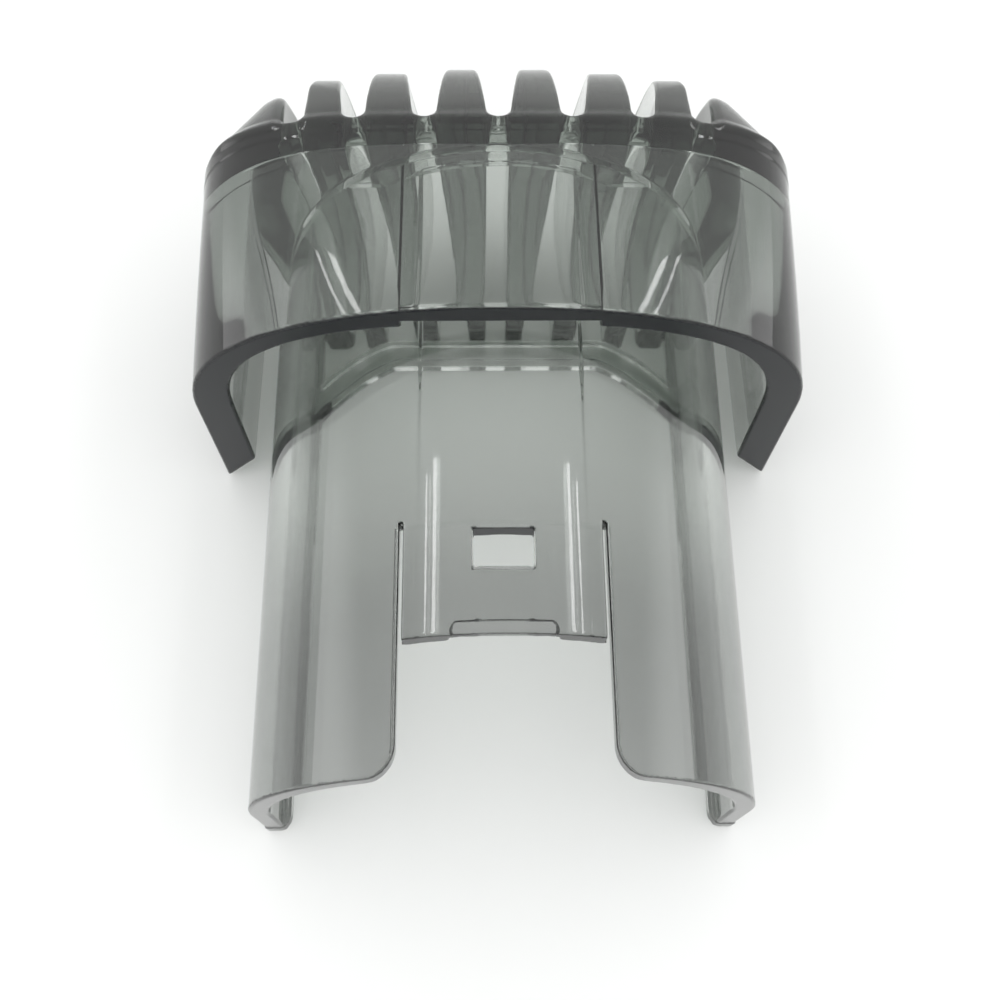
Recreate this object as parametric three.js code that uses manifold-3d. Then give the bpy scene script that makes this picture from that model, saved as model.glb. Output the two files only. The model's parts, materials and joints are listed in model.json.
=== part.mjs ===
// Clip-on guide comb of a hair clipper, in smoked see-through plastic.
// Millimetres. It lies on its open back: +X is its right, +Y runs from the feet to the teeth and
// +Z is its front.
// Lengths along the comb are given from the feet; the whole group is then moved so that Y = 0 is its middle.

import * as THREE from 'three';
import { mergeVertices } from 'three/addons/utils/BufferGeometryUtils.js';
import Module from 'manifold-3d';

const wasm = await Module();
wasm.setup();

// ---- driving dimensions ----
const LENGTH = 71; // feet to tooth tips
const GAP = 0.3; // parting gap kept between neighbouring members

const SLEEVE_RADIUS = 22.4; // outside of the arched sleeve
const SLEEVE_WALL = 1.8;
const SLEEVE_AXIS_Z = 8.7; // height of the arch's centre; straight walls below it
const SLEEVE_FOOT_Z = 2.1; // straight walls end here, on the guide lips

const LIP_INNER_X = 20;
const LIP_HEIGHT = SLEEVE_FOOT_Z - GAP;
const LIP_END_RADIUS = 1.6;

const SLIT_X = 8.2; // middle of the slits beside the latch tongue
const NOTCH_Y = 10.5; // depth of the cut-out between the legs
const ROOT_Y = 20.2; // where the tongue springs from the sleeve
const LEG_CORNER_RADIUS = 2.5;
const TONGUE_WALL = 1.5;
const WINDOW_WIDTH = 4.8;
const WINDOW_Y = [16.0, 19.1];
const LEAD_IN_WIDTH = [7.8, 8.8]; // at its top and at the tongue's free end
const LEAD_IN_DEPTH = 1.3;

const HOOD_RIM_Y = 37.3;
const HOOD_TOP_Y = 57;
const HOOD_AXIS_Z = 16; // the hood's arms are straight below this
const HOOD_FRONT_Z = 34.2;
const HOOD_RIM_HALF = 28.9; // half width outside, at the rim
const HOOD_TOP_HALF = 28.3; // half width outside, at the teeth
const HOOD_INNER_RIM_HALF = 25.2;
const HOOD_INNER_TOP_HALF = 24.8;
const HOOD_INNER_Z = 31.3;
const HOOD_ROUND_RIM = 2.2; // exponent of the arch: 2 is an ellipse, more is squarer
const HOOD_ROUND_TOP = 4;
const HOOD_ROUND_INNER = 3;
const CROWN_HALF = 8.3; // the hood's wall is a little thinner within this
const CROWN_INNER_Z = 31.8;
const ARM_CHAMFER = 4; // slanted face on the end of each arm

const NOSE_Z = 14; // height at which the teeth reach furthest
const TOOTH_REACH = LENGTH - HOOD_TOP_Y;
const TOOTH_SHORTENING = [0, 0.4, 1.2, 3.2]; // how much less each tooth reaches than the middle ones
const TOOTH_BACK_Y = 52.4;
const TOOTH_HEEL_Z = 4.6; // the inner edge slants from here, at the back, up to the hood's end
const TOOTH_ROOT_Z = [26.5, 26.5, 26.5, 5.2]; // the outermost teeth stay clear of the sleeve's flanks
const TOOTH_LAYER = 1.8; // widest step that a flank's curve is drawn in
// x of each tooth's two flanks at its front root, at its tip and at its skin-side end
const TEETH = [
  { root: [1.0, 5.6], tip: [2.3, 4.5], back: [1.05, 2.95] },
  { root: [7.6, 11.9], tip: [8.95, 11.25], back: [6.3, 8.9] },
  { root: [13.9, 17.4], tip: [15.0, 16.8], back: [12.3, 14.7] },
  { root: [19.3, HOOD_TOP_HALF], tip: [20.0, 21.8], back: [16.2, 20.0] },
];

const BASE_HEIGHT = LIP_HEIGHT;
const CROSS_BAR_HALF = 9;
const CROSS_BAR_HEIGHT = 2.4;
const CROSS_BAR_Y = [54.4, 56.1];

// ---- plastic ----
const SMOKED = { color: 0x7d8480, roughness: 0.12, metalness: 0 };
const finish = () => new THREE.MeshStandardMaterial({ ...SMOKED, transparent: true, opacity: 0.55 });

// ---- solids ----
function toSolid(geometry) {
  const bare = geometry.clone();
  bare.deleteAttribute('normal');
  bare.deleteAttribute('uv');
  const welded = mergeVertices(bare, 1e-4);
  return new wasm.Manifold(new wasm.Mesh({
    numProp: 3,
    vertProperties: new Float32Array(welded.attributes.position.array),
    triVerts: new Uint32Array(welded.index.array),
  }));
}

function toMesh(solid, name) {
  const data = solid.getMesh();
  const geometry = new THREE.BufferGeometry();
  geometry.setAttribute('position', new THREE.Float32BufferAttribute(data.vertProperties, 3));
  geometry.setIndex(new THREE.Uint32BufferAttribute(data.triVerts, 1));
  geometry.computeVertexNormals();
  const mesh = new THREE.Mesh(geometry, finish());
  mesh.name = name;
  return mesh;
}

// A block with corners low and high.
function block(low, high) {
  const size = high.map((value, axis) => value - low[axis]);
  const geometry = new THREE.BoxGeometry(...size);
  geometry.translate(...low.map((value, axis) => value + size[axis] / 2));
  return toSolid(geometry);
}

// A plate one unit in each direction, bent by place(across, through, along), each from 0 to 1.
function bentPlate(place, acrossSteps, alongSteps) {
  const geometry = new THREE.BoxGeometry(1, 1, 1, acrossSteps, 1, alongSteps);
  const position = geometry.attributes.position;
  for (let i = 0; i < position.count; i++) {
    const point = place(position.getX(i) + 0.5, position.getY(i) + 0.5, position.getZ(i) + 0.5);
    position.setXYZ(i, ...point);
  }
  return toSolid(geometry);
}

// An outline in X and Y, raised from z = low to z = high.
function raised(shape, low, high) {
  const options = { depth: high - low, bevelEnabled: false, curveSegments: 10 };
  const geometry = new THREE.ExtrudeGeometry(shape, options);
  geometry.translate(0, 0, low);
  return toSolid(geometry);
}

const mirrored = (solid) => solid.mirror([1, 0, 0]);
const mix = THREE.MathUtils.lerp;

// ---- sleeve ----
// Height of the sleeve's outer face at x, less a depth into its wall.
const sleeveHeight = (x, depth = 0) => SLEEVE_AXIS_Z + Math.sqrt((SLEEVE_RADIUS - depth) ** 2 - x * x);

// The arched shell between two lengths, from the foot of one straight wall to the foot of the other.
function sleeveShell(yLow, yHigh, wall) {
  const straight = SLEEVE_AXIS_Z - SLEEVE_FOOT_Z;
  const arch = Math.PI * SLEEVE_RADIUS;
  const total = arch + 2 * straight;
  return bentPlate((across, through, along) => {
    const travel = across * total - straight;
    const radius = SLEEVE_RADIUS - wall * (1 - through);
    const angle = Math.PI - THREE.MathUtils.clamp(travel / SLEEVE_RADIUS, 0, Math.PI);
    const drop = Math.max(0, -travel, travel - arch);
    const y = mix(yHigh, yLow, along);
    return [radius * Math.cos(angle), y, SLEEVE_AXIS_Z + radius * Math.sin(angle) - drop];
  }, 48, 1);
}

// The cut-out between the legs, which flares out round the corner of each leg.
function legGap() {
  const edge = SLIT_X + GAP / 2;
  const shape = new THREE.Shape();
  shape.moveTo(-edge - LEG_CORNER_RADIUS, -1);
  shape.lineTo(-edge - LEG_CORNER_RADIUS, 0);
  shape.absarc(-edge - LEG_CORNER_RADIUS, LEG_CORNER_RADIUS, LEG_CORNER_RADIUS, -Math.PI / 2, 0, false);
  shape.lineTo(-edge, ROOT_Y + GAP / 2);
  shape.lineTo(edge, ROOT_Y + GAP / 2);
  shape.lineTo(edge, LEG_CORNER_RADIUS);
  shape.absarc(edge + LEG_CORNER_RADIUS, LEG_CORNER_RADIUS, LEG_CORNER_RADIUS, Math.PI, 1.5 * Math.PI, false);
  shape.lineTo(edge + LEG_CORNER_RADIUS, -1);
  shape.closePath();
  return raised(shape, SLEEVE_AXIS_Z, HOOD_FRONT_Z);
}

function makeSleeve() {
  const yEnd = HOOD_TOP_Y - GAP;
  const shell = sleeveShell(0, yEnd, SLEEVE_WALL).subtract(legGap());
  const inner = SLIT_X - GAP / 2;
  const outer = SLIT_X + GAP / 2;
  const wallRight = shell.intersect(block([outer, -1, 0], [SLEEVE_RADIUS + 1, yEnd + 1, HOOD_FRONT_Z]));
  const crown = shell.intersect(block([-inner, ROOT_Y, SLEEVE_AXIS_Z], [inner, yEnd + 1, HOOD_FRONT_Z]));
  return [
    toMesh(crown, 'sleeve_crown'),
    toMesh(wallRight, 'sleeve_wall_right'),
    toMesh(mirrored(wallRight), 'sleeve_wall_left'),
  ];
}

// The springy tongue, with its window and the lead-in cut into the back of its free end.
function makeTongue() {
  const inner = SLIT_X - GAP / 2;
  const shell = sleeveShell(NOTCH_Y, ROOT_Y - GAP / 2, TONGUE_WALL);
  const tongue = shell.intersect(block([-inner, 0, SLEEVE_AXIS_Z], [inner, HOOD_RIM_Y, HOOD_FRONT_Z]));
  const half = WINDOW_WIDTH / 2;
  const window = block([-half, WINDOW_Y[0], SLEEVE_AXIS_Z], [half, WINDOW_Y[1], HOOD_FRONT_Z]);
  const leadIn = new THREE.Shape();
  leadIn.moveTo(-LEAD_IN_WIDTH[1] / 2, NOTCH_Y - 1);
  leadIn.lineTo(LEAD_IN_WIDTH[1] / 2, NOTCH_Y - 1);
  leadIn.lineTo(LEAD_IN_WIDTH[0] / 2, NOTCH_Y + LEAD_IN_DEPTH);
  leadIn.lineTo(-LEAD_IN_WIDTH[0] / 2, NOTCH_Y + LEAD_IN_DEPTH);
  leadIn.closePath();
  const leadInTop = sleeveHeight(0, TONGUE_WALL / 2);
  return toMesh(tongue.subtract(window).subtract(raised(leadIn, SLEEVE_AXIS_Z, leadInTop)), 'latch_tongue');
}

// The in-turned rails that the clipper's housing slides on, and that the comb rests on.
function makeLips() {
  const outer = SLEEVE_RADIUS - GAP;
  const end = baseEdge(LIP_INNER_X) - 2 * GAP;
  const shape = new THREE.Shape();
  shape.moveTo(outer, LIP_END_RADIUS);
  shape.lineTo(outer, baseEdge(outer) - 2 * GAP);
  shape.lineTo(LIP_INNER_X, end);
  shape.lineTo(LIP_INNER_X, LIP_END_RADIUS);
  shape.absarc(LIP_INNER_X + LIP_END_RADIUS, LIP_END_RADIUS, LIP_END_RADIUS, Math.PI, 1.5 * Math.PI, false);
  shape.lineTo(outer, 0);
  shape.closePath();
  const lip = raised(shape, 0, LIP_HEIGHT);
  return [toMesh(lip, 'guide_lip_right'), toMesh(mirrored(lip), 'guide_lip_left')];
}

// ---- hood ----
function archHeight(x, half, rise, round) {
  return rise * Math.max(0, 1 - Math.abs(x / half) ** round) ** (1 / round);
}

// Height of the hood's outer face at its toothed end, which the roots of the teeth follow.
function hoodTopHeight(x) {
  return HOOD_AXIS_Z + archHeight(x, HOOD_TOP_HALF, HOOD_FRONT_Z - HOOD_AXIS_Z, HOOD_ROUND_TOP);
}

// One side of the hood: from the crown's edge over the shoulder and down the arm.
function hoodSide() {
  const xStart = CROWN_HALF + GAP;
  const share = 0.62; // of the plate's width that goes into the arch, the rest into the arm
  return bentPlate((across, through, along) => {
    const up = 1 - along; // 0 at the rim, 1 at the teeth
    const y = mix(HOOD_RIM_Y, HOOD_TOP_Y - GAP, up);
    const outside = through > 0.5;
    const half = outside
      ? mix(HOOD_RIM_HALF, HOOD_TOP_HALF, up)
      : mix(HOOD_INNER_RIM_HALF, HOOD_INNER_TOP_HALF, up);
    const rise = (outside ? HOOD_FRONT_Z : HOOD_INNER_Z) - HOOD_AXIS_Z;
    const round = outside ? mix(HOOD_ROUND_RIM, HOOD_ROUND_TOP, up) : HOOD_ROUND_INNER;
    const bend = Math.min(across / share, 1) * Math.PI / 2;
    const x = xStart + (half - xStart) * Math.sin(bend);
    if (across <= share) return [x, y, HOOD_AXIS_Z + archHeight(x, half, rise, round)];
    const down = (across - share) / (1 - share);
    return [half, y, mix(HOOD_AXIS_Z, outside ? 0 : ARM_CHAMFER, down)];
  }, 32, 6);
}

// The middle of the hood, with a flat inner face above the sleeve.
function hoodCrown() {
  return bentPlate((across, through, along) => {
    const up = 1 - along;
    const x = mix(-CROWN_HALF, CROWN_HALF, across);
    const half = mix(HOOD_RIM_HALF, HOOD_TOP_HALF, up);
    const round = mix(HOOD_ROUND_RIM, HOOD_ROUND_TOP, up);
    const outer = HOOD_AXIS_Z + archHeight(x, half, HOOD_FRONT_Z - HOOD_AXIS_Z, round);
    return [x, mix(HOOD_RIM_Y, HOOD_TOP_Y - GAP, up), through > 0.5 ? outer : CROWN_INNER_Z];
  }, 12, 4);
}

function makeHood() {
  const side = hoodSide();
  return [
    toMesh(hoodCrown(), 'hood_crown'),
    toMesh(side, 'hood_side_right'),
    toMesh(mirrored(side), 'hood_side_left'),
  ];
}

// ---- skin side of the nose ----
// Lower edge of the base: flat in the middle, falling away to the lips.
function baseEdge(x) {
  const flat = 11;
  const reach = 22;
  const away = THREE.MathUtils.clamp((Math.abs(x) - flat) / (reach - flat), 0, 1);
  return mix(49.5, 41.2, away ** 1.35);
}

function makeBase() {
  const outer = SLEEVE_RADIUS - GAP;
  const steps = 24;
  const edge = Array.from({ length: steps + 1 }, (_, i) => mix(-outer, outer, i / steps));
  const shape = new THREE.Shape();
  edge.forEach((x, i) => (i ? shape.lineTo(x, baseEdge(x)) : shape.moveTo(x, baseEdge(x))));
  shape.lineTo(outer, TOOTH_BACK_Y - GAP);
  shape.lineTo(-outer, TOOTH_BACK_Y - GAP);
  shape.closePath();
  return toMesh(raised(shape, 0, BASE_HEIGHT), 'base_arch');
}

function makeCrossBar() {
  const bar = bentPlate((across, through, along) => {
    const x = mix(-CROSS_BAR_HALF, CROSS_BAR_HALF, across);
    const top = sleeveHeight(x, SLEEVE_WALL) - GAP;
    return [x, mix(CROSS_BAR_Y[1], CROSS_BAR_Y[0], along), top - CROSS_BAR_HEIGHT * (1 - through)];
  }, 16, 1);
  return toMesh(bar, 'cross_bar');
}

// ---- teeth ----
// A tooth's side view, looking along +X: out of the hood, round the nose, along the skin side and back up.
function toothProfile(reach, rootZ) {
  const outline = [];
  const steps = 14;
  const up = HOOD_FRONT_Z - NOSE_Z;
  for (let i = 0; i <= 2 * steps; i++) {
    const angle = Math.PI / 2 * (1 - i / steps);
    const rise = angle > 0 ? up : NOSE_Z;
    outline.push([HOOD_TOP_Y + reach * Math.cos(angle), NOSE_Z + rise * Math.sin(angle)]);
  }
  outline.push([TOOTH_BACK_Y, 0], [TOOTH_BACK_Y, TOOTH_HEEL_Z], [HOOD_TOP_Y, rootZ]);
  return outline;
}

// Where teeth may be: anywhere beyond the hood, and below its end only within the sleeve.
function toothRoom() {
  const radius = SLEEVE_RADIUS - SLEEVE_WALL - GAP;
  const withinSleeve = bentPlate((across, through, along) => {
    const turn = Math.PI * across;
    const z = mix(0, SLEEVE_AXIS_Z + radius * Math.sin(turn), through);
    return [-radius * Math.cos(turn), mix(LENGTH, HOOD_RIM_Y, along), z];
  }, 32, 1);
  const beyond = block([-HOOD_RIM_HALF, HOOD_TOP_Y, 0], [HOOD_RIM_HALF, LENGTH, HOOD_FRONT_Z]);
  return withinSleeve.add(beyond);
}

function tooth({ root, tip, back }, reach, rootZ) {
  // Drawn with y to the right and z up, then stood up so that its thickness runs along X.
  const shape = new THREE.Shape(toothProfile(reach, rootZ).map(([y, z]) => new THREE.Vector2(y, z)));
  const layers = Math.ceil((root[1] - root[0]) / TOOTH_LAYER);
  const geometry = new THREE.ExtrudeGeometry(shape, { depth: 1, steps: layers, bevelEnabled: false });
  const position = geometry.attributes.position;
  for (let i = 0; i < position.count; i++) {
    const y = position.getX(i);
    const z = position.getY(i);
    const across = position.getZ(i);
    const outward = THREE.MathUtils.clamp((y - HOOD_TOP_Y) / TOOTH_REACH, 0, 1);
    const backward = THREE.MathUtils.smoothstep(HOOD_FRONT_Z - z, 2, HOOD_FRONT_Z);
    const flank = (side) => mix(mix(root[side], tip[side], outward), back[side], backward);
    const x = mix(flank(0), flank(1), across);
    position.setXYZ(i, x, y, z * hoodTopHeight(x) / HOOD_FRONT_Z);
  }
  return toSolid(geometry).intersect(toothRoom());
}

function makeTeeth() {
  const count = TEETH.length;
  return TEETH.flatMap((flanks, i) => {
    const solid = tooth(flanks, TOOTH_REACH - TOOTH_SHORTENING[i], TOOTH_ROOT_Z[i]);
    return [
      toMesh(solid, `tooth_${count + 1 + i}`),
      toMesh(mirrored(solid), `tooth_${count - i}`),
    ];
  });
}

const comb = new THREE.Group();
comb.add(
  ...makeSleeve(), ...makeLips(), ...makeHood(), makeBase(), makeCrossBar(), ...makeTeeth(), makeTongue(),
);
comb.position.y = -LENGTH / 2;

export default comb;
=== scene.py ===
"""Looks of a clip-on guide comb for a hair clipper, moulded in smoked see-through plastic.

The comb is one polished moulding. Its working members are described as solid fields in millimetres,
joined with small fillets as a mould maker would draw them, and skinned as one surface. The latch
tongue is parted from that surface at its root.
"""

import json
import logging
import math
from dataclasses import dataclass, field
from enum import Enum
from typing import Callable

import bpy
import numpy as np
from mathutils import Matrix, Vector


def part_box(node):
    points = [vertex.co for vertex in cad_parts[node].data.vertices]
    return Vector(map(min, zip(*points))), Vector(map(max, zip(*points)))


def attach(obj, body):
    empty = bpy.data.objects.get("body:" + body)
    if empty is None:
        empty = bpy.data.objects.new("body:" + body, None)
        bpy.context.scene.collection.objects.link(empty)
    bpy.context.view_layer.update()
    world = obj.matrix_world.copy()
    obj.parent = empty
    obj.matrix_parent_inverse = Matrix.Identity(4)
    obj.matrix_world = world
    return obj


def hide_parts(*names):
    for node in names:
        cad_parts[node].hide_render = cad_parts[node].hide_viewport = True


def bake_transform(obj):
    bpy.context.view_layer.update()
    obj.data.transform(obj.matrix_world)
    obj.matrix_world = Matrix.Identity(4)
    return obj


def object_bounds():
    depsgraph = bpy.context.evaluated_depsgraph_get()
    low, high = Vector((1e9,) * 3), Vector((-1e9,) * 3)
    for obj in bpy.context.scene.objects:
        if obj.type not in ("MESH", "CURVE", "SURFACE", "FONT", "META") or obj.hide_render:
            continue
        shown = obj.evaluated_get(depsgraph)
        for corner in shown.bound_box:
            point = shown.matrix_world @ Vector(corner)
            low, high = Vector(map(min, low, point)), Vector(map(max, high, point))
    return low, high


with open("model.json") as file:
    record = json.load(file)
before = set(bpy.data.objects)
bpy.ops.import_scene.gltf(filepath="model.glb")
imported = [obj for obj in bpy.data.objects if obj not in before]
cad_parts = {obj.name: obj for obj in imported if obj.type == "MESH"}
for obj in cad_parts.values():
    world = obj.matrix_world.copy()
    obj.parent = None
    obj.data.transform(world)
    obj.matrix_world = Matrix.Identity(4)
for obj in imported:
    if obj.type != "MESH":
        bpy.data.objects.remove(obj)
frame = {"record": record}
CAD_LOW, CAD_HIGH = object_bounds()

import openvdb
from mathutils import Matrix, Vector

LOG = logging.getLogger("guide_comb")
MM = 0.001
SEAM = "seam"
# Attribute that says how far a point's end face is painted near black as shade.
PAINTED_END_SHADE = "painted_end_shade_mask"
FAR = 9.0
HALF_GAP = 0.15
Array = np.ndarray
Field = Callable[["Points"], Array]


class Body(Enum):
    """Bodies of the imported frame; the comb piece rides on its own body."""

    COMB = "comb"
    TONGUE = "tongue"


class Slot(Enum):
    """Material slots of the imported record."""

    SMOKED = "smoked_plastic"


# ---------------------------------------------------------------- places


def corner(node: str, high: bool, axis: int) -> float:
    """Gives one coordinate of a CAD node's box.

    Args:
        node: name of the CAD node.
        high: True for the highest corner, False for the lowest.
        axis: 0, 1 or 2 for X, Y or Z.

    Returns:
        The coordinate in millimetres.
    """
    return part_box(node)[1 if high else 0][axis] / MM


@dataclass(frozen=True)
class Points:
    """Places to measure a field at, in millimetres; x is folded onto the comb's right half."""

    x: Array
    y: Array
    z: Array


# ---------------------------------------------------------------- field tools


def meet(a: Array, b: Array, radius: float) -> Array:
    """Keeps what two fields share, with the outer edge between them rounded.

    Args:
        a: first field, negative inside.
        b: second field, negative inside.
        radius: radius of the rounded edge.

    Returns:
        The field of the shared solid.
    """
    reach = np.hypot(np.maximum(radius + a, 0), np.maximum(radius + b, 0))
    return np.minimum(-radius, np.maximum(a, b)) + reach


def join(a: Array, b: Array, radius: float) -> Array:
    """Joins two fields, with a fillet in the inner corner between them.

    Args:
        a: first field, negative inside.
        b: second field, negative inside.
        radius: radius of the fillet.

    Returns:
        The field of the joined solid.
    """
    return -meet(-a, -b, radius)


def ramp(value: Array, low: float, high: float) -> Array:
    """Rises smoothly from 0 at low to 1 at high.

    Args:
        value: what is measured.
        low: where the rise starts.
        high: where it ends.

    Returns:
        A share from 0 to 1.
    """
    t = np.clip((value - low) / (high - low), 0, 1)
    return t * t * (3 - 2 * t)


def mix(low: Array | float, high: Array | float, share: Array | float) -> Array | float:
    """Gives low where share is 0 and high where it is 1."""
    return low + (high - low) * share


def arch(x: Array, z: Array, half: Array | float, rise: Array | float, power: Array | float) -> Array:
    """Measures how far a point is outside an arch that stands on straight legs.

    Args:
        x: distance from the middle.
        z: height above the arch's springing.
        half: half width of the arch.
        rise: height of the arch.
        power: 2 for an ellipse, more for a squarer arch.

    Returns:
        Roughly the distance, negative inside.
    """
    across = np.maximum(np.abs(x) / half, 1e-4)
    up = np.maximum(z / rise, 0)
    size = np.maximum((across**power + up**power) ** (1 / power), 1e-4)
    slope = np.hypot((across / size) ** (power - 1) / half, (up / size) ** (power - 1) / rise)
    return (size - 1) / np.maximum(slope, 1e-3)


# ---------------------------------------------------------------- members of the moulding


@dataclass(frozen=True)
class Sleeve:
    """The arched channel that slides over the clipper's head, with its two legs and guide lips."""

    foot_y: float
    top_y: float
    root_y: float
    radius: float
    wall: float = 1.8
    axis_z: float = 8.7
    leg_x: float = 8.3
    leg_corner: float = 2.5
    lip_x: float = 20.0
    lip_height: float = 1.9
    lip_corner: float = 1.3
    track_half: float = 6.4
    track_depth: float = 0.08
    track_ramp: float = 0.45
    track_top: float = 3.0
    track_end: float = 0.3
    lip_fillet: float = 0.3
    edge: float = 0.22

    def distance(self, p: Points) -> Array:
        """Distance from the arch's axis, or from the middle plane beside the straight walls."""
        return np.where(p.z > self.axis_z, np.hypot(p.x, p.z - self.axis_z), p.x)

    def shell(self, p: Points, y_low: float, y_high: float) -> Array:
        """Field of the arched wall between two lengths.

        Args:
            p: places to measure.
            y_low: end nearer the feet.
            y_high: end nearer the teeth.

        Returns:
            The wall's field.
        """
        away = self.distance(p)
        track = (1 - ramp(p.x, self.track_half, self.track_half + self.track_ramp)) * (p.z > self.axis_z)
        track_top = self.top_y - self.track_top
        track = track * (1 - ramp(p.y, track_top, track_top + self.track_end))
        inner = self.radius - self.wall + self.track_depth * track
        wall = meet(away - self.radius, inner - away, self.edge)
        return meet(wall, np.maximum(y_low - p.y, p.y - y_high), self.edge)

    def legs(self, p: Points) -> Array:
        """Plan of the two legs and of everything above the tongue's root."""
        across = self.leg_x + self.leg_corner - p.x
        along = self.foot_y + self.leg_corner - p.y
        outside = np.hypot(np.maximum(across, 0), np.maximum(along, 0)) - self.leg_corner
        leg = np.minimum(np.maximum(across, along), 0) + outside
        return np.minimum(leg, self.root_y - p.y)

    def lips(self, p: Points, y_high: float) -> Array:
        """Field of the in-turned lips that the comb rests on."""
        across = self.lip_x + self.lip_corner - p.x
        along = self.foot_y + self.lip_corner - p.y
        outside = np.hypot(np.maximum(across, 0), np.maximum(along, 0)) - self.lip_corner
        plan = np.minimum(np.maximum(across, along), 0) + outside
        plan = meet(plan, np.maximum(p.x - self.radius, p.y - y_high), self.edge)
        return meet(plan, np.maximum(-p.z, p.z - self.lip_height), self.edge)

    def solid(self, p: Points, tongue: "LatchTongue") -> Array:
        """Field of the whole sleeve, from which the tongue springs.

        Args:
            p: places to measure.
            tongue: the tongue between the legs.

        Returns:
            The sleeve's field.
        """
        wall = self.shell(p, self.foot_y, self.top_y)
        wall = meet(wall, -p.z, self.edge)
        plan = np.minimum(self.legs(p), tongue.plan(p))
        wall = meet(wall, plan, self.edge)
        wall = tongue.cut(p, wall, self)
        return join(wall, self.lips(p, self.top_y - 1), self.lip_fillet)


@dataclass(frozen=True)
class LatchTongue:
    """The springy tongue between the slits, with its catch window and lead-in."""

    end_y: float
    half: float = 8.0
    window_half: float = 2.42
    window_low: float = 5.5
    window_high: float = 8.6
    lead_in_top: float = 3.85
    lead_in_mouth: float = 4.35
    lead_in_depth: float = 1.3
    lead_in_wall: float = 0.85
    corner: float = 0.15
    edge: float = 0.1

    def plan(self, p: Points) -> Array:
        """Plan of the tongue, without its cuts."""
        return np.maximum(p.x - self.half, self.end_y - p.y)

    def cut(self, p: Points, wall: Array, sleeve: Sleeve) -> Array:
        """Cuts the window and the lead-in.

        Args:
            p: places to measure.
            wall: field of the wall that they are cut in.
            sleeve: the sleeve that the tongue springs from.

        Returns:
            The field of the wall with both cuts.
        """
        above = p.y - self.end_y
        window = meet(p.x - self.window_half,
                      np.maximum(self.window_low - above, above - self.window_high), self.corner)
        window = np.maximum(window, sleeve.axis_z - p.z)
        wall = meet(wall, -window, self.edge)
        mouth = mix(self.lead_in_mouth, self.lead_in_top, np.clip(above / self.lead_in_depth, -1, 1))
        floor = sleeve.distance(p) - (sleeve.radius - self.lead_in_wall)
        lead_in = meet(meet(p.x - mouth, above - self.lead_in_depth, self.corner), floor, self.edge)
        lead_in = np.maximum(lead_in, np.maximum(-2 - above, sleeve.axis_z - p.z))
        return meet(wall, -lead_in, self.edge)


@dataclass(frozen=True)
class Hood:
    """The flared guard round the front of the sleeve, with its two arms."""

    rim_y: float
    top_y: float
    front_z: float
    rim_half: float
    top_half: float = 28.2
    spring_z: float = 16.0
    inner_rim_half: float = 25.25
    inner_top_half: float = 25.0
    inner_z: float = 31.3
    crown_z: float = 31.85
    crown_half: float = 8.4
    crown_run: float = 1.6
    rim_power: float = 2.2
    top_power: float = 4.0
    inner_rim_power: float = 2.6
    inner_top_power: float = 3.6
    chamfer: float = 4.4
    end_wall: float = 1.7
    lid_reach: float = 4.1
    lid_foot: float = 24.0
    lid_fillet: float = 0.2
    recess_corner: float = 0.1
    edge: float = 0.25

    def upness(self, p: Points) -> Array:
        """Share of the way from the rim, 0, to the teeth, 1."""
        return np.clip((p.y - self.rim_y) / (self.top_y - self.rim_y), 0, 1)

    def outside(self, p: Points) -> Array:
        """Field of everything within the hood's outer face."""
        up = self.upness(p)
        half = mix(self.rim_half, self.top_half, up)
        power = mix(self.rim_power, self.top_power, up)
        return arch(p.x, p.z - self.spring_z, half, self.front_z - self.spring_z, power)

    def solid(self, p: Points, sleeve: Sleeve) -> Array:
        """Field of the hood with the toothed end wall that ties it to the sleeve.

        Args:
            p: places to measure.
            sleeve: the sleeve inside the hood.

        Returns:
            The hood's field.
        """
        up = self.upness(p)
        outer = self.outside(p)
        inner_half = mix(self.inner_rim_half, self.inner_top_half, up)
        inner_power = mix(self.inner_rim_power, self.inner_top_power, up)
        inner = arch(p.x, p.z - self.spring_z, inner_half, self.inner_z - self.spring_z, inner_power)
        ceiling = mix(self.crown_z, self.inner_z, ramp(p.y, self.rim_y, self.rim_y + self.crown_run))
        recess = meet(p.x - self.crown_half, p.z - ceiling, self.recess_corner)
        recess = np.maximum(recess, self.spring_z - p.z)
        ends = np.maximum(self.rim_y - p.y, p.y - self.top_y)
        wall = meet(meet(outer, -np.minimum(inner, recess), self.edge), ends, self.edge)
        thickness = mix(self.rim_half - self.inner_rim_half, self.top_half - self.inner_top_half, up)
        lean = self.chamfer / thickness
        below = (lean * (mix(self.rim_half, self.top_half, up) - p.x) - p.z) / np.hypot(1, lean)
        below = np.minimum(below, self.spring_z / 2 - p.z)
        wall = meet(wall, np.maximum(below, -p.z), self.edge)
        away = sleeve.distance(p)
        lid = np.maximum(outer, sleeve.radius - self.lid_reach - away)
        lid = meet(lid, np.maximum(self.top_y - self.end_wall - p.y, p.y - self.top_y), self.edge)
        lid = np.maximum(lid, np.where(away < sleeve.radius - sleeve.wall, self.lid_foot - p.z, -1))
        return join(wall, lid, self.lid_fillet)


@dataclass(frozen=True)
class Tooth:
    """One tooth: the x of its two flanks at its root, at its tip and at its skin-side end."""

    root: tuple[float, float]
    tip: tuple[float, float]
    back: tuple[float, float]
    shorter: float
    round: float = 0.35

    def flank(self, side: int, outward: Array, backward: Array) -> Array:
        """Gives the x of one flank.

        Args:
            side: 0 for the inner flank, 1 for the outer.
            outward: share of the way from root to tip.
            backward: share of the way from the front to the skin side.

        Returns:
            The flank's x.
        """
        return mix(mix(self.root[side], self.tip[side], outward), self.back[side], backward)


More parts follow.
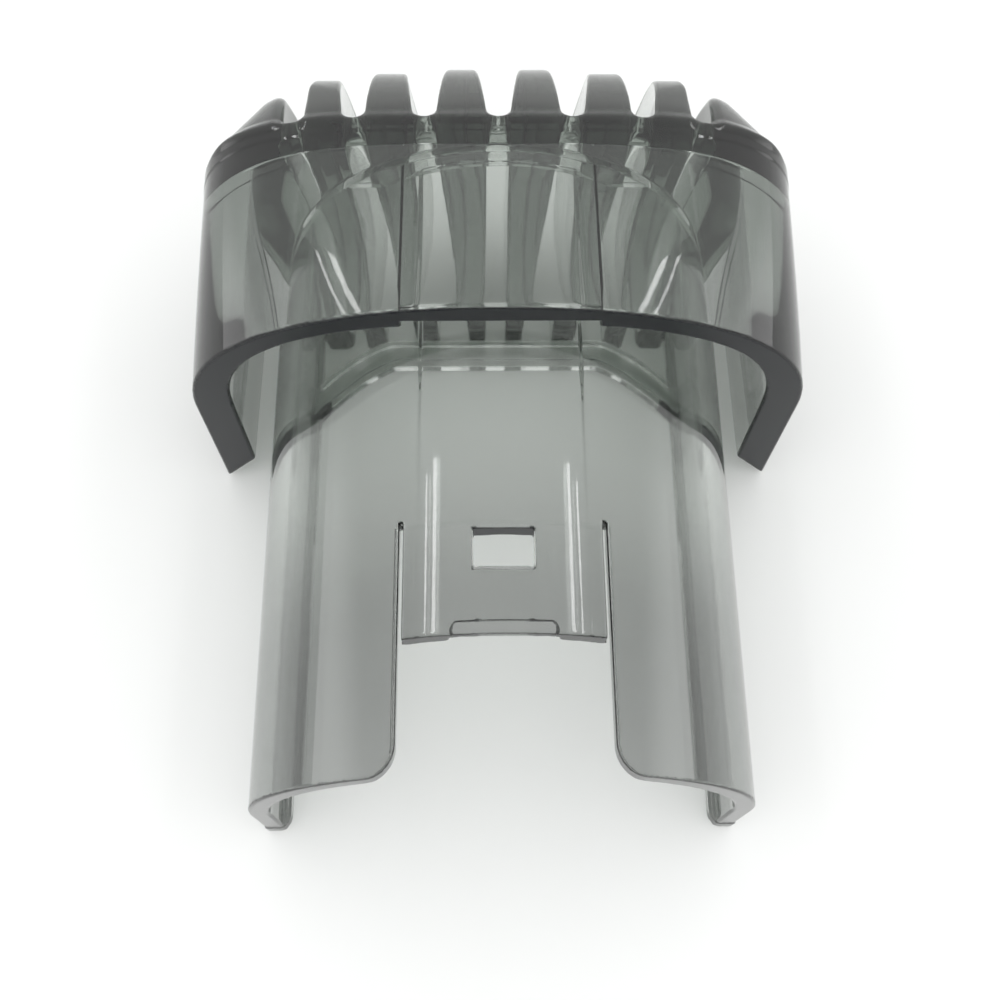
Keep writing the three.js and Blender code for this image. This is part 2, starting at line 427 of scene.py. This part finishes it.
@dataclass(frozen=True)
class Nose:
    """The toothed end: solid fins that leave the hood's edge and curl round to the skin-side base."""

    root_y: float
    tip_y: float
    front_z: float
    side_half: float
    base_mid_y: float
    base_side_y: float
    teeth: tuple[Tooth, ...]
    middle_z: float = 14.0
    nose_power: float = 2.1
    side_lean: float = 0.62
    front_lean: float = 0.86
    back_half: float = 20.3
    heel_y: float = 16.9
    heel_z: float = 4.6
    inner_z: float = 26.5
    base_height: float = 3.1
    base_width: float = 2.4
    base_flat: float = 11.0
    base_side: float = 22.0
    base_curve: float = 1.35
    base_end: float = 0.3
    base_round: float = 0.4
    heel_gap: float = 0.5
    lean_z: tuple[float, float] = (18.0, 28.0)
    back_z: float = 6.0
    front_depth: float = 2.0
    edge: float = 0.35

    def side_view(self, p: Points, shorter: float) -> Array:
        """Side view of a tooth: out of the hood, round the nose and back up its slanting inner edge.

        Args:
            p: places to measure.
            shorter: how much less the tooth reaches than the middle ones.

        Returns:
            The field of the side view.
        """
        out = np.maximum(p.y - self.root_y, 0)
        high = p.z - self.middle_z
        rise = np.where(high > 0, self.front_z - self.middle_z, self.middle_z)
        reach = self.tip_y - self.root_y - shorter
        outer = arch(out, np.abs(high), reach, rise, self.nose_power)
        slant = (self.root_y - self.heel_y) / (self.inner_z - self.heel_z)
        inner = self.heel_y + slant * np.maximum(p.z - self.heel_z, 0)
        inner = np.minimum(inner, self.root_y - self.heel_gap)
        return meet(outer, (inner - p.y) / math.hypot(1, slant), self.edge)

    def hull(self, p: Points, hood: Hood) -> Array:
        """Field of the nose's outer form, which narrows from the hood's corners to the tips."""
        out = np.maximum(p.y - self.root_y, 0)
        half = self.side_half - mix(self.side_lean, self.front_lean, ramp(p.z, *self.lean_z)) * out
        half = mix(self.back_half, half, ramp(p.z, 0, self.middle_z + self.back_z))
        return arch(p.x, p.z - hood.spring_z, half, self.front_z - hood.spring_z, hood.top_power)

    def base_edge(self, x: Array) -> Array:
        """Lower edge of the skin-side base: flat in the middle, falling away to the lips."""
        away = np.clip((x - self.base_flat) / (self.base_side - self.base_flat), 0, 1.2)
        return mix(self.base_mid_y, self.base_side_y, away**self.base_curve)

    def base(self, p: Points) -> Array:
        """Field of the arched bar that ties the skin-side ends of the teeth to the lips."""
        away = np.clip((p.x - self.base_flat) / (self.base_side - self.base_flat), 0, 1.2)
        fall = (self.base_mid_y - self.base_side_y) / (self.base_side - self.base_flat)
        lean = np.hypot(1, self.base_curve * away ** (self.base_curve - 1) * fall)
        half = self.base_width / 2
        along = np.abs(p.y - self.base_edge(p.x) - half * lean) / lean - half
        plan = meet(along, p.x - self.base_side - self.base_end, self.base_end)
        return meet(plan, np.maximum(-p.z, p.z - self.base_height), self.base_round)

    def solid(self, p: Points, hood: Hood, sleeve: Sleeve) -> Array:
        """Field of all the teeth, held within the nose's outer form.

        Args:
            p: places to measure.
            hood: the hood that the teeth leave.
            sleeve: the sleeve, within which the teeth's heels stay.

        Returns:
            The teeth's field.
        """
        hull = self.hull(p, hood)
        behind = self.root_y - self.heel_gap - p.y
        beyond = np.minimum(behind, sleeve.distance(p) - sleeve.radius + sleeve.wall)
        hull = np.maximum(hull, beyond)
        outward = np.clip((p.y - self.root_y) / (self.tip_y - self.root_y), 0, 1)
        backward = ramp(self.front_z - p.z, self.front_depth, self.front_z)
        whole = np.full_like(p.y, FAR)
        for tooth in self.teeth:
            slab = np.maximum(tooth.flank(0, outward, backward) - p.x,
                              p.x - tooth.flank(1, outward, backward))
            fin = meet(slab, self.side_view(p, tooth.shorter), tooth.round)
            fin = meet(fin, hull, tooth.round)
            whole = np.minimum(whole, fin)
        return whole


# ---------------------------------------------------------------- skinning


@dataclass(frozen=True)
class Skin:
    """Skins a field with a mesh whose points and normals lie true on the solid's surface."""

    step: float = 0.25
    margin: float = 1.0
    adaptivity: float = 0.0
    probe: float = 0.01
    passes: int = 3
    flattest: float = 0.5

    def measure(self, solid: Field, at: Array) -> Array:
        """Field at a list of points.

        Args:
            solid: the field.
            at: N by 3 points in millimetres.

        Returns:
            N values, negative inside.
        """
        return solid(Points(np.abs(at[:, 0]), at[:, 1], at[:, 2]))

    def slope(self, solid: Field, at: Array) -> Array:
        """Gradient of the field at a list of points."""
        columns = []
        for axis in range(3):
            nudge = np.zeros(3)
            nudge[axis] = self.probe
            rise = self.measure(solid, at + nudge) - self.measure(solid, at - nudge)
            columns.append(rise / (2 * self.probe))
        return np.stack(columns, axis=1)

    def samples(self, solid: Field, low: Vector, high: Vector) -> tuple[Array, Array]:
        """Measures the field on a regular grid over the right half and mirrors it.

        Args:
            solid: the field.
            low: lowest corner of the solid, in millimetres.
            high: highest corner.

        Returns:
            The grid of values and the place of its first value.
        """
        half = math.ceil((high.x + self.margin) / self.step)
        xs = np.arange(half + 1) * self.step
        ys = np.arange(low.y - self.margin, high.y + self.margin, self.step)
        zs = np.arange(low.z - self.margin, high.z + self.margin, self.step)
        values = np.empty((len(xs), len(ys), len(zs)), np.float32)
        y_grid, z_grid = np.meshgrid(ys, zs, indexing="ij")
        for i, x in enumerate(xs):
            values[i] = solid(Points(np.full_like(y_grid, x), y_grid, z_grid))
        values = np.concatenate([values[:0:-1], values])
        return values, np.array([-xs[-1], ys[0], zs[0]])

    def wrap(self, solid: Field, low: Vector, high: Vector) -> tuple[Array, list[list[int]]]:
        """Makes the skin of a field.

        Args:
            solid: the field.
            low: lowest corner of the solid, in millimetres.
            high: highest corner.

        Returns:
            The points and the faces.
        """
        values, origin = self.samples(solid, low, high)
        grid = openvdb.FloatGrid(background=1.0)
        grid.copyFromArray(np.clip(values, -1.0, 1.0))
        points, triangles, quads = grid.convertToPolygons(isovalue=0.0, adaptivity=self.adaptivity)
        points = points.astype(np.float64) * self.step + origin
        for _ in range(self.passes):
            slope = self.slope(solid, points)
            size = np.maximum((slope**2).sum(axis=1), self.flattest**2)
            move = -(self.measure(solid, points) / size)[:, None] * slope
            points += np.clip(move, -self.step / 2, self.step / 2)
        return points, [*triangles.tolist(), *quads.tolist()]

    def normals(self, solid: Field, points: Array) -> Array:
        """Gives the field's unit normal at each point."""
        slope = self.slope(solid, points)
        return slope / np.maximum(np.linalg.norm(slope, axis=1), 1e-6)[:, None]


@dataclass
class Cut:
    """Parts a skin at a plane across its length and closes each side with a flat cap.

    A ray that crosses both caps leaves one piece and enters the other, so that see-through pieces
    look whole.
    """

    points: Array
    y: float
    gap: float = 0.002

    def side(self, faces: list[list[int]], upper: bool) -> tuple[Array, list[list[int]], list[int]]:
        """Keeps one side of the faces.

        Args:
            faces: the faces, as loops of points.
            upper: True for the side of greater y.

        Returns:
            The points with those of the cut added, the faces kept, and the cap.
        """
        level = self.y if upper else self.y - self.gap
        inside = (self.points[:, 1] > level) == upper
        added: list[Array] = []
        found: dict[tuple[int, int], int] = {}
        following: dict[int, int] = {}
        kept = []
        for face in faces:
            within = inside[face]
            if within.all():
                kept.append(face)
                continue
            if not within.any():
                continue
            part, leave, enter = [], -1, -1
            for k, i in enumerate(face):
                j = face[(k + 1) % len(face)]
                if inside[i]:
                    part.append(i)
                if inside[i] != inside[j]:
                    key = (min(i, j), max(i, j))
                    if key not in found:
                        a, b = self.points[key[0]], self.points[key[1]]
                        found[key] = len(self.points) + len(added)
                        added.append(a + (b - a) * (level - a[1]) / (b[1] - a[1]))
                    part.append(found[key])
                    if inside[i]:
                        leave = found[key]
                    else:
                        enter = found[key]
            kept.append(part)
            following[enter] = leave
        cap = [next(iter(following))]
        while following[cap[-1]] != cap[0]:
            cap.append(following[cap[-1]])
        return np.vstack([self.points, *(point[None] for point in added)]), kept, cap


def mesh_piece(name: str, points: Array, faces: list[list[int]], cap: list[int],
               normals: Array, ends: Array) -> bpy.types.Object:
    """Makes an object of some faces and a cap, with the normals of the true surface.

    Args:
        name: name of the piece.
        points: all points, in millimetres.
        faces: the faces to keep.
        cap: the flat face that closes the piece, which the seam attribute marks.
        normals: all points' normals.
        ends: how far each point belongs to an end face that is painted near black as shade, from 0 to 1.

    Returns:
        The object, in the scene.
    """
    loops = [*faces, cap]
    used = np.unique(np.fromiter((i for f in loops for i in f), int))
    order = np.full(len(points), -1)
    order[used] = np.arange(len(used))
    mesh = bpy.data.meshes.new(name)
    mesh.from_pydata((points[used] * MM).tolist(), [], [order[f].tolist() for f in loops])
    mesh.polygons.foreach_set("use_smooth", np.ones(len(mesh.polygons), bool))
    mesh.attributes.new(SEAM, "FLOAT", "FACE").data[-1].value = 1.0
    mesh.attributes.new(PAINTED_END_SHADE, "FLOAT", "POINT").data.foreach_set("value", ends[used])
    mesh.normals_split_custom_set_from_vertices(normals[used].tolist())
    piece = bpy.data.objects.new(name, mesh)
    bpy.context.scene.collection.objects.link(piece)
    return piece


# ---------------------------------------------------------------- finishes


@dataclass(frozen=True)
class SmokedPlastic:
    """Polished see-through polycarbonate, tinted a neutral grey that deepens with its thickness.

    Spans are in metres along the comb, except side_span, which is the distance from its middle.
    """

    name: str = "smoked_polycarbonate"
    # Painted shade: the hood's rim and the window's upper wall are painted near black.
    painted_end_shade_color: tuple[float, float, float] = (0.010, 0.011, 0.014)
    painted_end_shade_share: float = 0.93
    painted_end_shade_roughness: float = 0.3
    painted_end_shade_specular: float = 0.3
    # Painted shade: the base colour darkens over the legs and tongue, and down the hood's sides.
    painted_lower_shade: float = 0.5
    painted_lower_shade_span: tuple[float, float] = (-0.024, -0.002)
    painted_side_shade: float = 0.55
    side_span: tuple[float, float] = (0.018, 0.0235)
    painted_side_shade_hood_span: tuple[float, float] = (0.001, 0.003)
    haze_color: tuple[float, float, float] = (0.60, 0.62, 0.60)
    haze_share: float = 0.13
    haze_span: tuple[float, float] = (0.0205, 0.024)
    flow_scale: tuple[float, float, float] = (900, 60, 900)
    flow_detail: float = 3.0
    flow_height: float = 0.00002
    flow_strength: float = 0.12
    wear_share: tuple[float, float] = (0.5, 1.6)
    index: float = 1.585
    roughness: float = 0.035
    tint: tuple[float, float, float] = (0.60, 0.640, 0.606)
    density: float = 305.0
    lamp_share: tuple[float, float, float] = (0.80, 0.81, 0.80)

    @staticmethod
    def ramp(nodes: bpy.types.Nodes, links: bpy.types.NodeLinks, value: bpy.types.NodeSocket,
             span: tuple[float, float], to: tuple[float, float]) -> bpy.types.NodeSocket:
        """Adds a smooth ramp.

        Args:
            nodes: nodes of the material.
            links: its links.
            value: what the ramp follows.
            span: where it starts and ends.
            to: what it gives there.

        Returns:
            The ramp's output.
        """
        node = nodes.new("ShaderNodeMapRange")
        node.interpolation_type = "SMOOTHSTEP"
        for name, number in zip(("From Min", "From Max", "To Min", "To Max"), (*span, *to)):
            node.inputs[name].default_value = number
        links.new(value, node.inputs["Value"])
        return node.outputs["Result"]

    @staticmethod
    def size_of(nodes: bpy.types.Nodes, links: bpy.types.NodeLinks,
                value: bpy.types.NodeSocket) -> bpy.types.NodeSocket:
        """Adds a node that drops a value's sign and gives its output."""
        node = nodes.new("ShaderNodeMath")
        node.operation = "ABSOLUTE"
        links.new(value, node.inputs[0])
        return node.outputs["Value"]

    def paint_shade_tone(self, nodes: bpy.types.Nodes, links: bpy.types.NodeLinks,
             along: bpy.types.Node) -> bpy.types.NodeSocket:
        """Adds painted shade to the surface's colour: darker over the legs and down the hood's sides.

        Args:
            nodes: nodes of the material.
            links: its links.
            along: node that gives the place on the comb, in metres.

        Returns:
            The painted shade, from 0 to 1.
        """
        x, y = along.outputs["X"], along.outputs["Y"]
        shade = self.ramp(nodes, links, y, self.painted_lower_shade_span, (self.painted_lower_shade, 1.0))
        away = self.size_of(nodes, links, x)
        sides = self.ramp(nodes, links, away, self.side_span, (1.0, self.painted_side_shade))
        above = self.ramp(nodes, links, y, self.painted_side_shade_hood_span, (0.0, 1.0))
        hood = nodes.new("ShaderNodeMix")
        hood.inputs["A"].default_value = 1.0
        links.new(above, hood.inputs["Factor"])
        links.new(sides, hood.inputs["B"])
        both = nodes.new("ShaderNodeMath")
        both.operation = "MULTIPLY"
        links.new(shade, both.inputs[0])
        links.new(hood.outputs["Result"], both.inputs[1])
        return both.outputs["Value"]

    def flow_lines(self, nodes: bpy.types.Nodes, links: bpy.types.NodeLinks,
                   place: bpy.types.Node, shader: bpy.types.Node) -> None:
        """Adds the moulding's long flow lines and fine wear to the roughness and bump.

        Args:
            nodes: nodes of the material.
            links: its links.
            place: node that gives the place on the comb.
            shader: the plastic's shader.
        """
        stretch = nodes.new("ShaderNodeMapping")
        stretch.inputs["Scale"].default_value = self.flow_scale
        links.new(place.outputs["Object"], stretch.inputs["Vector"])
        flow = nodes.new("ShaderNodeTexNoise")
        flow.inputs["Scale"].default_value = 1.0
        flow.inputs["Detail"].default_value = self.flow_detail
        links.new(stretch.outputs["Vector"], flow.inputs["Vector"])
        wear = nodes.new("ShaderNodeMapRange")
        wear.inputs["To Min"].default_value = self.roughness * self.wear_share[0]
        wear.inputs["To Max"].default_value = self.roughness * self.wear_share[1]
        links.new(flow.outputs["Fac"], wear.inputs["Value"])
        links.new(wear.outputs["Result"], shader.inputs["Roughness"])
        bump = nodes.new("ShaderNodeBump")
        bump.inputs["Strength"].default_value = self.flow_strength
        bump.inputs["Distance"].default_value = self.flow_height
        links.new(flow.outputs["Fac"], bump.inputs["Height"])
        links.new(bump.outputs["Normal"], shader.inputs["Normal"])

    @staticmethod
    def blend(nodes: bpy.types.Nodes, links: bpy.types.NodeLinks, share: bpy.types.NodeSocket,
              first: bpy.types.NodeSocket, second: bpy.types.NodeSocket) -> bpy.types.NodeSocket:
        """Mixes two surfaces.

        Args:
            nodes: nodes of the material.
            links: its links.
            share: share of the second surface.
            first: the surface shown where share is 0.
            second: the surface shown where share is 1.

        Returns:
            The mixed surface.
        """
        node = nodes.new("ShaderNodeMixShader")
        links.new(share, node.inputs["Fac"])
        links.new(first, node.inputs[1])
        links.new(second, node.inputs[2])
        return node.outputs["Shader"]

    def make(self) -> bpy.types.Material:
        """Builds the material.

        Returns:
            The material, whose seam faces are left unseen.
        """
        mat = bpy.data.materials.new(self.name)
        mat.use_nodes = True
        nodes, links = mat.node_tree.nodes, mat.node_tree.links
        nodes.clear()
        out = nodes.new("ShaderNodeOutputMaterial")
        shader = nodes.new("ShaderNodeBsdfPrincipled")
        shader.inputs["Transmission Weight"].default_value = 1.0
        shader.inputs["IOR"].default_value = self.index
        place = nodes.new("ShaderNodeTexCoord")
        along = nodes.new("ShaderNodeSeparateXYZ")
        links.new(place.outputs["Object"], along.inputs["Vector"])
        # Painted shade in the base colour: darker over the legs and down the hood's sides.
        links.new(self.paint_shade_tone(nodes, links, along), shader.inputs["Base Color"])
        self.flow_lines(nodes, links, place, shader)
        depth = nodes.new("ShaderNodeVolumeAbsorption")
        depth.inputs["Color"].default_value = (*self.tint, 1)
        depth.inputs["Density"].default_value = self.density
        links.new(depth.outputs["Volume"], out.inputs["Volume"])
        clear = nodes.new("ShaderNodeBsdfTransparent")
        clear.inputs["Color"].default_value = (*self.lamp_share, 1)
        ray = nodes.new("ShaderNodeLightPath")
        surface = self.blend(nodes, links, ray.outputs["Is Shadow Ray"],
                             shader.outputs["BSDF"], clear.outputs["BSDF"])
        # Painted shade: a near-black surface is mixed in over the rim and window end faces.
        dark = nodes.new("ShaderNodeBsdfPrincipled")
        dark.inputs["Base Color"].default_value = (*self.painted_end_shade_color, 1)
        dark.inputs["Roughness"].default_value = self.painted_end_shade_roughness
        dark.inputs["Specular IOR Level"].default_value = self.painted_end_shade_specular
        painted_end_shade_mask = nodes.new("ShaderNodeAttribute")
        painted_end_shade_mask.attribute_name = PAINTED_END_SHADE
        share = nodes.new("ShaderNodeMath")
        share.operation = "MULTIPLY"
        share.inputs[1].default_value = self.painted_end_shade_share
        links.new(painted_end_shade_mask.outputs["Fac"], share.inputs[0])
        surface = self.blend(nodes, links, share.outputs["Value"], surface, dark.outputs["BSDF"])
        haze = nodes.new("ShaderNodeBsdfDiffuse")
        haze.inputs["Color"].default_value = (*self.haze_color, 1)
        nose = self.ramp(nodes, links, along.outputs["Y"], self.haze_span, (0.0, self.haze_share))
        surface = self.blend(nodes, links, nose, surface, haze.outputs["BSDF"])
        seam = nodes.new("ShaderNodeAttribute")
        seam.attribute_name = SEAM
        unseen = nodes.new("ShaderNodeBsdfTransparent")
        surface = self.blend(nodes, links, seam.outputs["Fac"], surface, unseen.outputs["BSDF"])
        links.new(surface, out.inputs["Surface"])
        return mat


@dataclass(frozen=True)
class TableTop:
    """Matt white table top with a very faint mottle."""

    name: str = "white_table"
    color: tuple[float, float, float] = (0.9, 0.908, 0.9)
    roughness: float = 0.6
    mottle_scale: float = 60.0
    mottle_share: float = 0.985

    def make(self) -> bpy.types.Material:
        """Builds the material.

        Returns:
            The material.
        """
        mat = bpy.data.materials.new(self.name)
        mat.use_nodes = True
        nodes, links = mat.node_tree.nodes, mat.node_tree.links
        shader = nodes["Principled BSDF"]
        shader.inputs["Roughness"].default_value = self.roughness
        place = nodes.new("ShaderNodeTexCoord")
        noise = nodes.new("ShaderNodeTexNoise")
        noise.inputs["Scale"].default_value = self.mottle_scale
        links.new(place.outputs["Object"], noise.inputs["Vector"])
        shade = nodes.new("ShaderNodeMixRGB")
        shade.inputs["Color1"].default_value = (*self.color, 1)
        shade.inputs["Color2"].default_value = (*(c * self.mottle_share for c in self.color), 1)
        links.new(noise.outputs["Fac"], shade.inputs["Fac"])
        links.new(shade.outputs["Color"], shader.inputs["Base Color"])
        return mat


# ---------------------------------------------------------------- the comb


@dataclass
class GuideComb:
    """The whole moulding: sleeve, hood, nose and latch tongue."""

    sleeve: Sleeve
    tongue: LatchTongue
    hood: Hood
    nose: Nose
    skin: Skin = field(default_factory=Skin)
    valley: float = 1.0
    valley_z: tuple[float, float] = (27.0, 31.0)
    fillet: float = 0.15
    base_fillet: float = 0.2
    seam: float = 0.4
    bend_run: float = 3.0

    @classmethod
    def from_frame(cls) -> "GuideComb":
        """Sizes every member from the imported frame's nodes."""
        foot = corner("sleeve_wall_right", False, 1)
        top = corner("hood_crown", True, 1) + 2 * HALF_GAP
        rim = corner("hood_crown", False, 1)
        tip = corner("tooth_5", True, 1)
        front = corner("tooth_5", True, 2)
        root = corner("sleeve_crown", False, 1) - HALF_GAP
        sleeve = Sleeve(foot, top, root, corner("sleeve_wall_right", True, 0))
        tongue = LatchTongue(corner("latch_tongue", False, 1))
        hood = Hood(rim, top, front, corner("hood_side_right", True, 0))
        wide = hood.top_half + 2
        teeth = (
            Tooth((1.0, 5.6), (2.6, 4.3), (1.05, 2.95), 0.0),
            Tooth((7.6, 11.9), (9.1, 11.0), (6.3, 8.9), 0.8),
            Tooth((13.9, 17.4), (15.1, 16.5), (12.3, 14.7), 2.2),
            Tooth((19.3, wide), (20.0, wide), (16.2, 20.0), 5.0, 1.1),
        )
        nose = Nose(top, tip, front, hood.top_half, foot + 49.5, foot + 41.2, teeth,
                    heel_y=foot + 52.4)
        return cls(sleeve, tongue, hood, nose)

    def solid(self, p: Points) -> Array:
        """Field of the finished moulding.

        Args:
            p: places to measure.

        Returns:
            The field, negative inside the plastic.
        """
        body = join(self.sleeve.solid(p, self.tongue), self.hood.solid(p, self.sleeve), self.fillet)
        body = join(body, self.nose.base(p), self.base_fillet)
        valley = mix(self.fillet, self.valley, ramp(p.z, *self.valley_z))
        body = join(body, self.nose.solid(p, self.hood, self.sleeve), valley)
        return np.maximum(body, -p.z)

    def between_slits(self, points: Array, faces: list[list[int]]) -> Array:
        """Says which faces lie between the slits, from the tongue's free end to just past its root."""
        middle = np.array([points[f].mean(axis=0) for f in faces])
        across = np.abs(middle[:, 0]) < (self.tongue.half + self.sleeve.leg_x) / 2
        along = (middle[:, 1] < self.sleeve.root_y) & (middle[:, 1] > self.tongue.end_y - 1)
        return across & along & (middle[:, 2] > self.sleeve.axis_z)

    def paint_end_shade(self, points: Array, normals: Array) -> Array:
        """Marks the hood's rim and the window's upper wall, whose flat faces are painted almost black as
        shade.

        Args:
            points: all points.
            normals: their normals.

        Returns:
            A share of painted shade, from 0 to 1, for each point.
        """
        x, y, z = points.T
        facing = ramp(-normals[:, 1], 0.55, 0.85)
        rim = (y < self.hood.rim_y + 0.4) & (y > self.hood.rim_y - 0.1)
        rim &= np.hypot(x, z - self.sleeve.axis_z) > self.sleeve.radius + 0.2
        lintel = self.tongue.end_y + self.tongue.window_high
        window = (np.abs(x) < self.tongue.window_half + 0.1) & (np.abs(y - lintel) < 0.3)
        return facing * (rim | window)

    def build(self) -> tuple[bpy.types.Object, bpy.types.Object]:
        """Skins the moulding and parts the tongue from it at its root.

        Returns:
            The comb and its tongue.
        """
        points, faces = self.skin.wrap(self.solid, CAD_LOW / MM, CAD_HIGH / MM)
        springy = self.between_slits(points, faces)
        near = [f for f, s in zip(faces, springy) if s]
        rest = [f for f, s in zip(faces, springy) if not s]
        cut = Cut(points, self.sleeve.root_y - self.seam)
        pieces = []
        for name, upper, others in (("comb_moulding", True, rest), ("springy_tongue", False, [])):
            all_points, kept, cap = cut.side(near, upper)
            normals = self.skin.normals(self.solid, all_points)
            ends = self.paint_end_shade(all_points, normals)
            pieces.append(mesh_piece(name, all_points, others + kept, cap, normals, ends))
        return pieces[0], pieces[1]

    def dress(self, comb: bpy.types.Object, tongue: bpy.types.Object) -> None:
        """Gives both pieces their plastic, ties the comb to the frame and hides the frame's parts of
        both bodies.

        Args:
            comb: the main moulding.
            tongue: the latch tongue.
        """
        plastic = SmokedPlastic()
        surface = plastic.make()
        for piece in (comb, tongue):
            piece.data.materials.append(surface)
        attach(comb, Body.COMB.value)
        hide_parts(*frame["record"]["behaviour"]["bodies"][Body.COMB.value])
        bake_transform(tongue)
        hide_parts(*frame["record"]["behaviour"]["bodies"][Body.TONGUE.value])


# ---------------------------------------------------------------- studio


@dataclass(frozen=True)
class Strip:
    """A thin light over the comb, from one place to another in metres, with its width."""

    start: tuple[float, float]
    end: tuple[float, float]
    width: float
    height: float = 0.522

    def hang(self, name: str, glow: float) -> None:
        """Hangs the light, facing the comb.

        Args:
            name: name of the light.
            glow: brightness of its face.
        """
        start, end = Vector((*self.start, self.height)), Vector((*self.end, self.height))
        middle = (start + end) / 2
        data = bpy.data.lights.new(name, "AREA")
        data.shape = "RECTANGLE"
        data.size, data.size_y = (end - start).length, self.width
        data.energy = glow * math.pi * data.size * data.size_y
        lamp = bpy.data.objects.new(name, data)
        lengthwise = (end - start).normalized()
        back = (middle - lengthwise * middle.dot(lengthwise)).normalized()
        turn = Matrix((lengthwise, back.cross(lengthwise), back)).transposed()
        lamp.matrix_world = Matrix.Translation(middle) @ turn.to_4x4()
        bpy.context.scene.collection.objects.link(lamp)


@dataclass(frozen=True)
class Studio:
    """Pale table, soft lights and the camera."""

    lens: float = 43.2
    camera_at: tuple[float, float, float] = (-0.0019, -0.0505, 0.1192)
    forward: tuple[float, float, float] = (0.01736, 0.38229, -0.92388)
    upward: tuple[float, float, float] = (0.00528, 0.92397, 0.38242)
    world: float = 1.1
    side_glow: float = 1.2
    side_span: tuple[float, float] = (0.87, 0.98)
    sensor: float = 36.0
    table_half: float = 1.5
    table_drop: float = 0.0001
    strip_glow: float = 7.0
    strips: tuple[Strip, ...] = (
        Strip((-0.295, -0.3), (-0.295, 0.25), 0.016),
        Strip((-0.345, -0.3), (-0.345, 0.25), 0.008),
        Strip((0.314, -0.3), (0.314, 0.25), 0.016),
        Strip((0.366, -0.3), (0.366, 0.25), 0.008),
    )

    def place_camera(self) -> None:
        """Sets the camera above the comb's feet, looking down at its front."""
        data = bpy.data.cameras.new("camera")
        data.lens = self.lens
        data.sensor_width = self.sensor
        data.clip_start, data.clip_end = 0.005, 10.0
        camera = bpy.data.objects.new("camera", data)
        back = -Vector(self.forward).normalized()
        up = Vector(self.upward).normalized()
        right = up.cross(back).normalized()
        turn = Matrix((right, back.cross(right), back)).transposed()
        camera.matrix_world = Matrix.Translation(self.camera_at) @ turn.to_4x4()
        bpy.context.scene.collection.objects.link(camera)
        bpy.context.scene.camera = camera

    def lay_table(self) -> None:
        """Lays the table top under the comb."""
        mesh = bpy.data.meshes.new("table")
        half = self.table_half
        mesh.from_pydata([(-half, -half, 0), (half, -half, 0), (half, half, 0), (-half, half, 0)],
                         [], [(0, 1, 2, 3)])
        table = bpy.data.objects.new("table", mesh)
        table.location.z = CAD_LOW.z - self.table_drop
        mesh.materials.append(TableTop().make())
        bpy.context.scene.collection.objects.link(table)

    def light(self) -> None:
        """Hangs the lights: a white room, brighter at both sides, and thin strips above."""
        world = bpy.data.worlds.new("room")
        world.use_nodes = True
        nodes, links = world.node_tree.nodes, world.node_tree.links
        background = nodes["Background"]
        background.inputs["Color"].default_value = (1, 1, 1, 1)
        where = nodes.new("ShaderNodeTexCoord")
        parts = nodes.new("ShaderNodeSeparateXYZ")
        links.new(where.outputs["Generated"], parts.inputs["Vector"])
        sideways = nodes.new("ShaderNodeMath")
        sideways.operation = "ABSOLUTE"
        links.new(parts.outputs["X"], sideways.inputs[0])
        glow = nodes.new("ShaderNodeMapRange")
        glow.interpolation_type = "SMOOTHSTEP"
        glow.inputs["From Min"].default_value = self.side_span[0]
        glow.inputs["From Max"].default_value = self.side_span[1]
        glow.inputs["To Min"].default_value = self.world
        glow.inputs["To Max"].default_value = self.world + self.side_glow
        links.new(sideways.outputs["Value"], glow.inputs["Value"])
        links.new(glow.outputs["Result"], background.inputs["Strength"])
        bpy.context.scene.world = world
        for number, strip in enumerate(self.strips, 1):
            strip.hang(f"strip_{number}", self.strip_glow)

    def develop(self) -> None:
        """Chooses a plain response, so that white stays white."""
        bpy.context.scene.view_settings.view_transform = "Standard"


def main() -> None:
    """Builds the studio and the comb, and reports each piece."""
    logging.basicConfig(level=logging.INFO, format="%(name)s: %(message)s")
    studio = Studio()
    studio.place_camera()
    studio.lay_table()
    studio.light()
    studio.develop()
    comb = GuideComb.from_frame()
    pieces = comb.build()
    comb.dress(*pieces)
    for piece in pieces:
        LOG.info("%s has %d faces", piece.name, len(piece.data.polygons))


if __name__ == "__main__":
    main()
